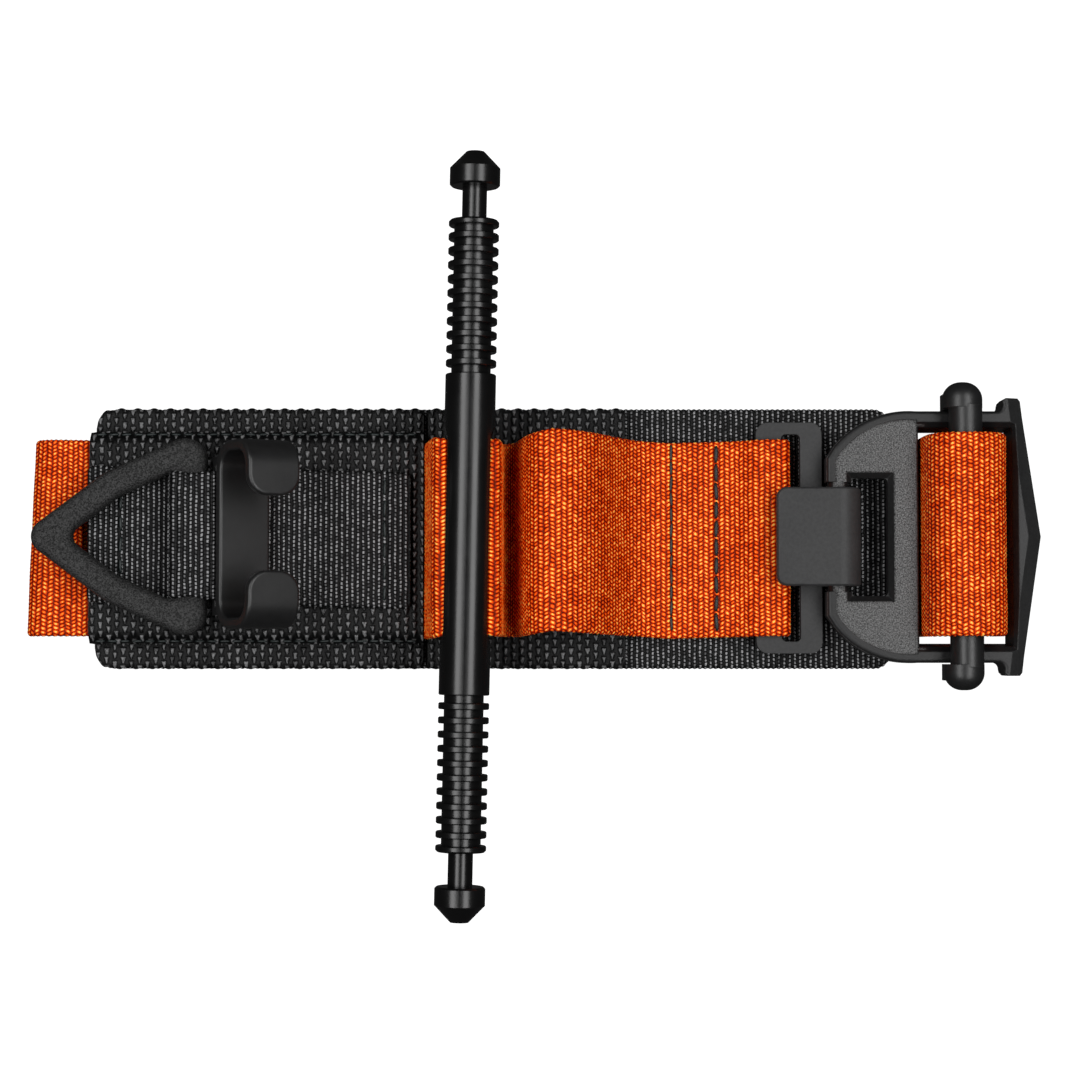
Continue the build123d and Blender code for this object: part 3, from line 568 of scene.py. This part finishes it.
def by_x(*stops):
    """A value that changes along X between (x, value) stops in millimetres."""
    at, value = zip(*stops)
    return lambda s, x, y, side: np.interp(x, np.array(at) * MM, np.array(value))


def fold_skew(s, x, y, side):
    """The left fold is not quite square to the strap."""
    return np.clip((-76 * MM - x) / (8 * MM), 0, 1) * 0.036


strap = {}
strap.update(orange(["strap_main_cloth"], mm((50.0, 4.55), (0, 4.55), (-60, 4.55))))
strap.update(orange(["strap_fold_cloth"], mm(
    (-60, 4.55), (-70, 4.55), (-76, 4.5), (-82.4, 4.6), (-85.2, 5.4), (-85.2, 8.8), (-82.8, 10.7),
    (-79.5, 10.7), (-75.5, 9.5), (-70, 9.45), (-60, 9.45)), beaded=True, skew=fold_skew))
strap.update(orange(["strap_sleeve_run_cloth"], mm((-60, 9.45), (-40, 9.45), (-20, 9.45))))
strap.update(orange(["strap_windlass_loop_cloth", "strap_hump_cloth", "strap_hook_loop_cloth"], mm(
    (-20, 9.45), (-14, 9.45), (-10.5, 9.45), (-8.4, 9.9), (-7.9, 12.0), (-7.3, 17.0), (-6.6, 22.0),
    (-6.1, 24.8), (-5.1, 26.0), (-3.7, 25.9), (-2.0, 24.8), (0, 24.5), (2.2, 24.7), (3.7, 25.7),
    (5.0, 25.9), (5.8, 24.6), (5.9, 21.0), (6.0, 15.0), (6.6, 10.9), (8.0, 10.1), (9.3, 11.2),
    (10.2, 15.0), (11.2, 20.0), (12.6, 23.6), (14.6, 25.3), (17.6, 25.5), (21.0, 24.2), (24.6, 20.4),
    (28.0, 14.9), (31.2, 10.2), (34.5, 8.75), (38, 8.75), (44, 8.75), (51.2, 8.75), (53.6, 9.6),
    (55.4, 11.2), (57.4, 11.75), (60.0, 11.7), (61.7, 11.2), (61.9, 9.4), (61.6, 7.7), (60.0, 7.4),
    (54, 7.45), (36.0, 7.45)),
    beaded=True, cuts=mm((0, 24.5), (48.1, 8.75)),
    shift=by_x((-20, 0), (-9, -0.0006), (6, -0.0006), (9, -0.0004), (16, 0.0009), (39, -0.0005), (58, 0)),
    narrow=by_x((-9, 0), (-6.5, 0.008), (-3.5, 0.035), (3.8, 0.035), (7, 0.02), (11, 0.004), (16, 0))))

strap.update(orange(["strap_main_hook_run"], mm((50.0, 4.55), (58, 4.55), (66.3, 4.55))))
strap.update(orange(["strap_tail_hook_run"], mm((66.3, 3.3), (58, 3.3), (50.0, 3.25))))
strap.update(orange(
    ["strap_main_buckle_run", "strap_bar_loop_cloth", "strap_tail_buckle_run"], mm(
        (66.3, 4.55), (75, 4.55), (84.0, 4.55), (87.0, 4.5), (88.1, 5.2), (88.1, 10), (88.1, 16.5),
        (88.8, 20.2), (91.2, 22.8), (95.2, 23.9), (99.4, 22.9), (101.9, 20.4), (102.6, 16.5),
        (102.6, 8.0), (102.3, 4.4),
        (100.0, 3.35), (94, 3.3), (84.0, 3.3), (75, 3.3), (66.3, 3.3)),
    beaded=True, cuts=mm((84.0, 4.55), (84.0, 3.3)), narrow=by_x((84, 0), (88, -0.012)),
    shift=by_x((84, 0), (90, 0.0002))))
strap.update(orange(["strap_tail_layers"], mm(
    (50.0, 3.25), (40, 3.25), (0, 3.25), (-60, 3.25), (-69.4, 3.25), (-71.4, 3.1), (-71.4, 2.1),
    (-69.4, 1.95), (-60, 1.95), (0, 1.95), (70, 1.95), (87.4, 1.95), (89.4, 1.8), (89.4, 0.8),
    (87.4, 0.65), (70, 0.65),
    (0, 0.65), (-60, 0.65), (-70, 0.65))))

# ======== Fine webbing that the whole right end lies on
FINE_SECTION = flat_section(BASE_W, 1.6 * MM, 220, 25)
FINE_Z = (BASE_LOW.z + BASE_HIGH.z) / 2


def fine(names, points, section, **options):
    options.setdefault("relief", fine_relief)
    options.setdefault("step", FINE_PITCH / 4)
    return strip(names, points, section, FINE, "fine_black_webbing", **options)


base_strip = fine(
    ["base_cloth_left"], [(BASE_LOW.x, FINE_Z), (0, FINE_Z), (26 * MM, FINE_Z)],
    flat_section(BASE_W, 1.6 * MM, 25, 25), relief=plain_relief, step=0.5 * MM, corners=(3.5 * MM, 0))
base_strip.update(fine(
    ["base_cloth", "base_cloth_hook", "base_cloth_end"],
    [(26 * MM, FINE_Z), (40 * MM, FINE_Z), (50 * MM, FINE_Z), (BASE_END, FINE_Z)], FINE_SECTION,
    cuts=mm((50, 6.0), (66.3, 6.0)), corners=(0, 3.2 * MM)))

# ======== Coarse webbing: two grip pieces and the sleeve over the strap; the tab after them is fine webbing
GRIP_LOW, GRIP_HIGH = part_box("grip_webbing_left")
GRIP_RIGHT_LOW, GRIP_RIGHT_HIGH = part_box("grip_webbing_right")
GRIP_Z = (GRIP_LOW.z + GRIP_HIGH.z) / 2
COARSE_STEP = COARSE_PITCH / 7
COARSE_SECTION = flat_section(BASE_W, 2.0 * MM, 210, 25)


def grip_relief(s, x, y, side):
    """Lies lower at its sewn left end and where the sleeve's stitches pull it down."""
    lift, widen = coarse_relief(s, x, y, side)
    sewn = near(np.abs(y), 20.6 * MM, 0.8 * MM) * (x < -9 * MM)
    return lift - 0.15 * MM * sewn, widen


def coarse(names, points, section, **options):
    options.setdefault("relief", coarse_relief)
    return strip(names, points, section, COARSE, "coarse_black_webbing", step=COARSE_STEP, **options)


grip_left = coarse(
    ["grip_cloth_left"], [(GRIP_LOW.x, GRIP_Z), (-40 * MM, GRIP_Z), (GRIP_HIGH.x - 0.1 * MM, GRIP_Z)],
    COARSE_SECTION, relief=grip_relief, corners=(3.5 * MM, 0.6 * MM))
grip_right = coarse(
    ["grip_cloth_right"], [(GRIP_RIGHT_LOW.x, GRIP_Z), (10 * MM, GRIP_Z), (GRIP_RIGHT_HIGH.x, GRIP_Z)],
    COARSE_SECTION, relief=grip_relief, corners=(0.6 * MM, 0.8 * MM))

SLEEVE_LOW, SLEEVE_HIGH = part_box("sleeve_webbing")
SLEEVE_MIDDLE_Z = (SLEEVE_LOW.z + SLEEVE_HIGH.z) / 2
SLEEVE_W = SLEEVE_HIGH.y - SLEEVE_LOW.y


def sleeve_section(top_count, bottom_count):
    """A shallow arch: over the strap in the middle, down on the grip webbing at both edges."""
    half = SLEEVE_W / 2
    top = SLEEVE_HIGH.z - SLEEVE_MIDDLE_Z
    under = top - 2.0 * MM
    foot = SLEEVE_LOW.z - SLEEVE_MIDDLE_Z
    loop = []
    for y in np.linspace(-half + 0.5 * MM, half - 0.5 * MM, top_count):
        fall = max(0.0, (abs(y) - (STRAP_W / 2 - 0.9 * MM)) / (half - STRAP_W / 2 + 0.9 * MM))
        loop.append((y, top - 1.5 * MM * fall**1.3, 1.0))
    edge = [
        (half - 0.15 * MM, top - 1.75 * MM, 0.6), (half, top - 2.3 * MM, 0.0),
        (half - 0.1 * MM, foot + 0.3 * MM, -0.6)]
    loop += edge
    loop.append((half - 0.4 * MM, foot + 0.02 * MM, -1.0))
    for y in np.linspace(STRAP_W / 2 + 0.35 * MM, -STRAP_W / 2 - 0.35 * MM, bottom_count):
        inside = abs(y) < STRAP_W / 2 + 0.3 * MM
        loop.append((y, under if inside else foot + 0.02 * MM, -1.0))
    loop.append((-half + 0.4 * MM, foot + 0.02 * MM, -1.0))
    loop += [(-y, h, s) for y, h, s in reversed(edge)]
    return np.array(loop)


def sleeve_relief(s, x, y, side):
    lift, widen = coarse_relief(s, x, y, side)
    sewn = near(np.abs(y), 20.1 * MM, 0.55 * MM)
    lift = np.where(side > 0, lift - 0.3 * MM * sewn, 0)
    return lift, widen * 0.4


sleeve = coarse(
    ["sleeve_cloth"],
    [(SLEEVE_LOW.x, SLEEVE_MIDDLE_Z), (-40 * MM, SLEEVE_MIDDLE_Z), (SLEEVE_HIGH.x, SLEEVE_MIDDLE_Z)],
    sleeve_section(170, 24), relief=sleeve_relief)

TAB_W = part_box("tab_webbing")[1].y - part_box("tab_webbing")[0].y
TAB_POINTS = mm(
    (-73.9, 12.8), (-66, 12.8), (-60.5, 12.8), (-57.8, 12.9), (-56.85, 13.9), (-56.75, 17.6),
    (-56.3, 19.4), (-54.8, 19.95), (-52.0, 19.95), (-49.8, 19.85), (-47.5, 18.8), (-44, 16.88),
    (-40.5, 14.98), (-38.2, 13.6),
    (-36.0, 12.9), (-33.5, 12.8), (-24, 12.8), (-11.4, 12.8))


def tab_relief(s, x, y, side):
    lift, widen = fine_relief(s, x, y, side)
    sewn = near(x, -67.4 * MM, 0.7 * MM) + near(x, -16.3 * MM, 0.7 * MM)
    return lift - 0.25 * MM * sewn, widen * 0.6


def tab_shift(s, x, y, side):
    """The tab lies slightly askew, held straight where it passes through the clip."""
    left = np.clip((-47 * MM - x) / (27 * MM), 0, 1)
    right = np.clip((x + 36 * MM) / (25 * MM), 0, 1)
    return 0.7 * MM * left - 0.7 * MM * right


def tab_narrow(s, x, y, side):
    """Pulled in where it passes inside the ring."""
    inside = np.clip(1 - np.abs(x + 53 * MM) / (7 * MM), 0, 1) ** 0.5
    return 0.11 * inside


tab = fine(["tab_cloth_left", "tab_cloth"], TAB_POINTS, flat_section(TAB_W, 1.4 * MM, 136, 30),
           relief=tab_relief, shift=tab_shift, narrow=tab_narrow, corners=(0.8 * MM, 0.8 * MM),
           cuts=mm((-48.7, 19.4)))


# ======== Stitches, each a short bowed thread whose ends dive into the webbing
def thread_row(name, starts, direction, length, radius, lift, seed):
    """One mesh of separate stitches. Each start is the (x, y, z) of a stitch's middle on the cloth."""
    dice = random.Random(seed)
    verts, faces = [], []
    rings, sides = 9, 8
    across = Vector((0, 0, 1)).cross(direction)
    for start in starts:
        own_length = length * dice.uniform(0.93, 1.07)
        turn = dice.uniform(-0.07, 0.07)
        along = (direction + across * turn).normalized()
        beside = Vector((0, 0, 1)).cross(along)
        base = len(verts)
        for ring in range(rings):
            t = ring / (rings - 1)
            bow = math.sin(math.pi * t) ** 0.6
            centre = Vector(start) + along * (t - 0.5) * own_length + Vector((0, 0, lift * (bow - 0.45)))
            size = radius * (0.55 + 0.45 * bow)
            for n in range(sides):
                angle = 2 * math.pi * n / sides
                upward = Vector((0, 0, size * 0.85 * math.sin(angle)))
                verts.append(centre + beside * size * math.cos(angle) + upward)
        for ring in range(rings - 1):
            for n in range(sides):
                a, b = base + ring * sides + n, base + ring * sides + (n + 1) % sides
                faces.append((a, b, b + sides, a + sides))
        faces.append(tuple(base + n for n in reversed(range(sides))))
        faces.append(tuple(base + (rings - 1) * sides + n for n in range(sides)))
    mesh = bpy.data.meshes.new(name)
    mesh.from_pydata([v[:] for v in verts], [], faces)
    mesh.polygons.foreach_set("use_smooth", [True] * len(mesh.polygons))
    mesh.materials.append(THREAD)
    return link(name, mesh)


def evenly(span, count, middle=0.0):
    return [middle + span * ((n + 0.5) / count - 0.5) for n in range(count)]


SEWN_TOP = SEWN_HIGH.z
TAB_TOP = 13.5 * MM
ALONG_X, ALONG_Y = Vector((1, 0, 0)), Vector((0, 1, 0))
stitches = {
    "stitches_sewn_end_inner": thread_row(
        "thread_sewn_inner", [(39.3 * MM, y, SEWN_TOP) for y in evenly(36.4 * MM, 12)],
        ALONG_Y, 2.95 * MM, 0.27 * MM, 0.18 * MM, 1),
    "stitches_sewn_end_outer": thread_row(
        "thread_sewn_outer", [(48.1 * MM, y, SEWN_TOP) for y in evenly(36.4 * MM, 10)],
        ALONG_Y, 3.3 * MM, 0.40 * MM, 0.3 * MM, 2),
    "stitches_tab_left": thread_row(
        "thread_tab_left", [(-67.4 * MM, y, TAB_TOP) for y in evenly(24.6 * MM, 6, 0.6 * MM)],
        ALONG_Y, 2.9 * MM, 0.30 * MM, 0.25 * MM, 3),
    "stitches_tab_right": thread_row(
        "thread_tab_right", [(-16.3 * MM, y, TAB_TOP) for y in evenly(24.6 * MM, 6, -0.6 * MM)],
        ALONG_Y, 3.0 * MM, 0.30 * MM, 0.25 * MM, 4),
}
SLEEVE_STITCH_Z = SLEEVE_HIGH.z - 1.1 * MM
for side_name, side_sign, side_seed in (("upper", 1, 5), ("lower", -1, 6)):
    stitches[f"stitches_sleeve_{side_name}"] = thread_row(
        f"thread_sleeve_{side_name}",
        [(x, side_sign * 20.1 * MM, SLEEVE_STITCH_Z) for x in evenly(62.9 * MM, 26, -41.45 * MM)],
        ALONG_X, 1.8 * MM, 0.24 * MM, 0.2 * MM, side_seed)

# ======== Riding and replacing
REPLACED = {
    "strap_main_cloth": ("strap_main_run",),
    "strap_fold_cloth": ("strap_left_fold",),
    "strap_sleeve_run_cloth": ("strap_in_sleeve",),
    "base_cloth_left": (),
    "strap_windlass_loop_cloth": ("strap_windlass_loop",),
    "strap_hump_cloth": ("strap_sewn_end",),
    "strap_hook_loop_cloth": ("strap_hook_loop",),
    "strap_main_hook_run": ("strap_main_under_hook",),
    "strap_tail_hook_run": ("strap_tail_under_hook",),
    "strap_main_buckle_run": ("strap_main_under_buckle",),
    "strap_bar_loop_cloth": ("strap_bar_loop",),
    "strap_tail_buckle_run": ("strap_tail_under_buckle",),
    "strap_tail_layers": ("strap_tail_top", "strap_tail_middle", "strap_tail_end", "strap_tail_fold_left",
                          "strap_tail_fold_right"),
    "base_cloth": ("base_webbing",),
    "base_cloth_hook": ("base_webbing_under_hook",),
    "base_cloth_end": ("base_webbing_end",),
    "grip_cloth_left": ("grip_webbing_left",),
    "grip_cloth_right": ("grip_webbing_right",),
    "sleeve_cloth": ("sleeve_webbing",),
    "tab_cloth_left": (),
    "tab_cloth": ("tab_webbing",),
}
TO_HOOK = ("base", "hook_plate", (53 * MM, 0, 0), (60 * MM, 0, 0))
TO_BUCKLE = ("hook_plate", "buckle", (67.5 * MM, 0, 0), (75 * MM, 0, 0))
BLENDS = {
    "strap_windlass_loop_cloth": ("base", "windlass", (0, 0, 12 * MM), (0, 0, 23 * MM)),
    "strap_hump_cloth": ("windlass", "base", (4 * MM, 0, 0), (15 * MM, 0, 0)),
    "strap_hook_loop_cloth": ("base", "hook_plate", (51 * MM, 0, 0), (57 * MM, 0, 0)),
    "strap_main_hook_run": TO_HOOK, "strap_tail_hook_run": TO_HOOK, "base_cloth_hook": TO_HOOK,
    "strap_main_buckle_run": TO_BUCKLE, "strap_tail_buckle_run": TO_BUCKLE, "base_cloth_end": TO_BUCKLE,
    "strap_bar_loop_cloth": ("buckle", "friction_bar", (0, 0, 6 * MM), (0, 0, 15 * MM)),
    "tab_cloth_left": ("base", "retention_clip", (-51.1 * MM, 0, 0), (-48.7 * MM, 0, 0)),
    "tab_cloth": ("base", "retention_clip", (-33 * MM, 0, 0), (-41 * MM, 0, 0)),
}

for made in (strap, base_strip, grip_left, grip_right, sleeve, tab):
    for name, (piece, length) in made.items():
        if REPLACED[name]:
            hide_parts(*REPLACED[name])
        if name in BLENDS:
            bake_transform(piece)
        else:
            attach(piece, "base")
for node_name, row in stitches.items():
    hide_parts(node_name)
    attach(row, "base")

# ======== Floor, light and camera
floor_mesh = bpy.data.meshes.new("floor")
FLOOR = 12.0
floor_corners = [(-FLOOR, -FLOOR, 0), (FLOOR, -FLOOR, 0), (FLOOR, FLOOR, 0), (-FLOOR, FLOOR, 0)]
floor_mesh.from_pydata(floor_corners, [], [(0, 1, 2, 3)])
floor = link("floor", floor_mesh)
floor.location.z = -0.05 * MM
# seen as plain white paper, without throwing its own light up at the sides of the object
floor.visible_diffuse = False
floor.visible_glossy = False
floor_look = bpy.data.materials.new("floor_paper")
floor_look.use_nodes = True
paper = floor_look.node_tree.nodes["Principled BSDF"]
paper.inputs["Base Color"].default_value = (0.15, 0.15, 0.15, 1)
paper.inputs["Roughness"].default_value = 0.9
paper.inputs["Specular IOR Level"].default_value = 0.1
paper.inputs["Emission Color"].default_value = (1, 1, 1, 1)
paper.inputs["Emission Strength"].default_value = 1.0
floor_mesh.materials.append(floor_look)

world = bpy.data.worlds.new("studio")
bpy.context.scene.world = world
world.use_nodes = True
world.node_tree.nodes["Background"].inputs["Color"].default_value = (1, 1, 1, 1)
world.node_tree.nodes["Background"].inputs["Strength"].default_value = 0.035


def softbox(name, place, size, power):
    """A rectangular area light aimed at the middle of the object."""
    data = bpy.data.lights.new(name, "AREA")
    data.shape = "RECTANGLE"
    data.size, data.size_y = size
    data.energy = power
    lamp = bpy.data.objects.new(name, data)
    lamp.location = place
    lamp.rotation_euler = (Vector((0.01, 0, 0.02)) - Vector(place)).to_track_quat("-Z", "Y").to_euler()
    bpy.context.scene.collection.objects.link(lamp)


softbox("softbox_left", (-0.34, 0.0, 0.64), (0.95, 0.30), 4.6)
softbox("softbox_right", (0.36, 0.0, 0.64), (0.95, 0.30), 4.6)

camera_data = bpy.data.cameras.new("camera")
camera_data.lens = 78.77
camera_data.sensor_width = 36.0
camera_data.clip_start = 0.01
camera = bpy.data.objects.new("camera", camera_data)
camera.location = (13.7 * MM, -21.3 * MM, 470.0 * MM)
camera.rotation_euler = (math.radians(2.6), 0, 0)
bpy.context.scene.collection.objects.link(camera)
bpy.context.scene.camera = camera
bpy.context.scene.view_settings.view_transform = "Standard"
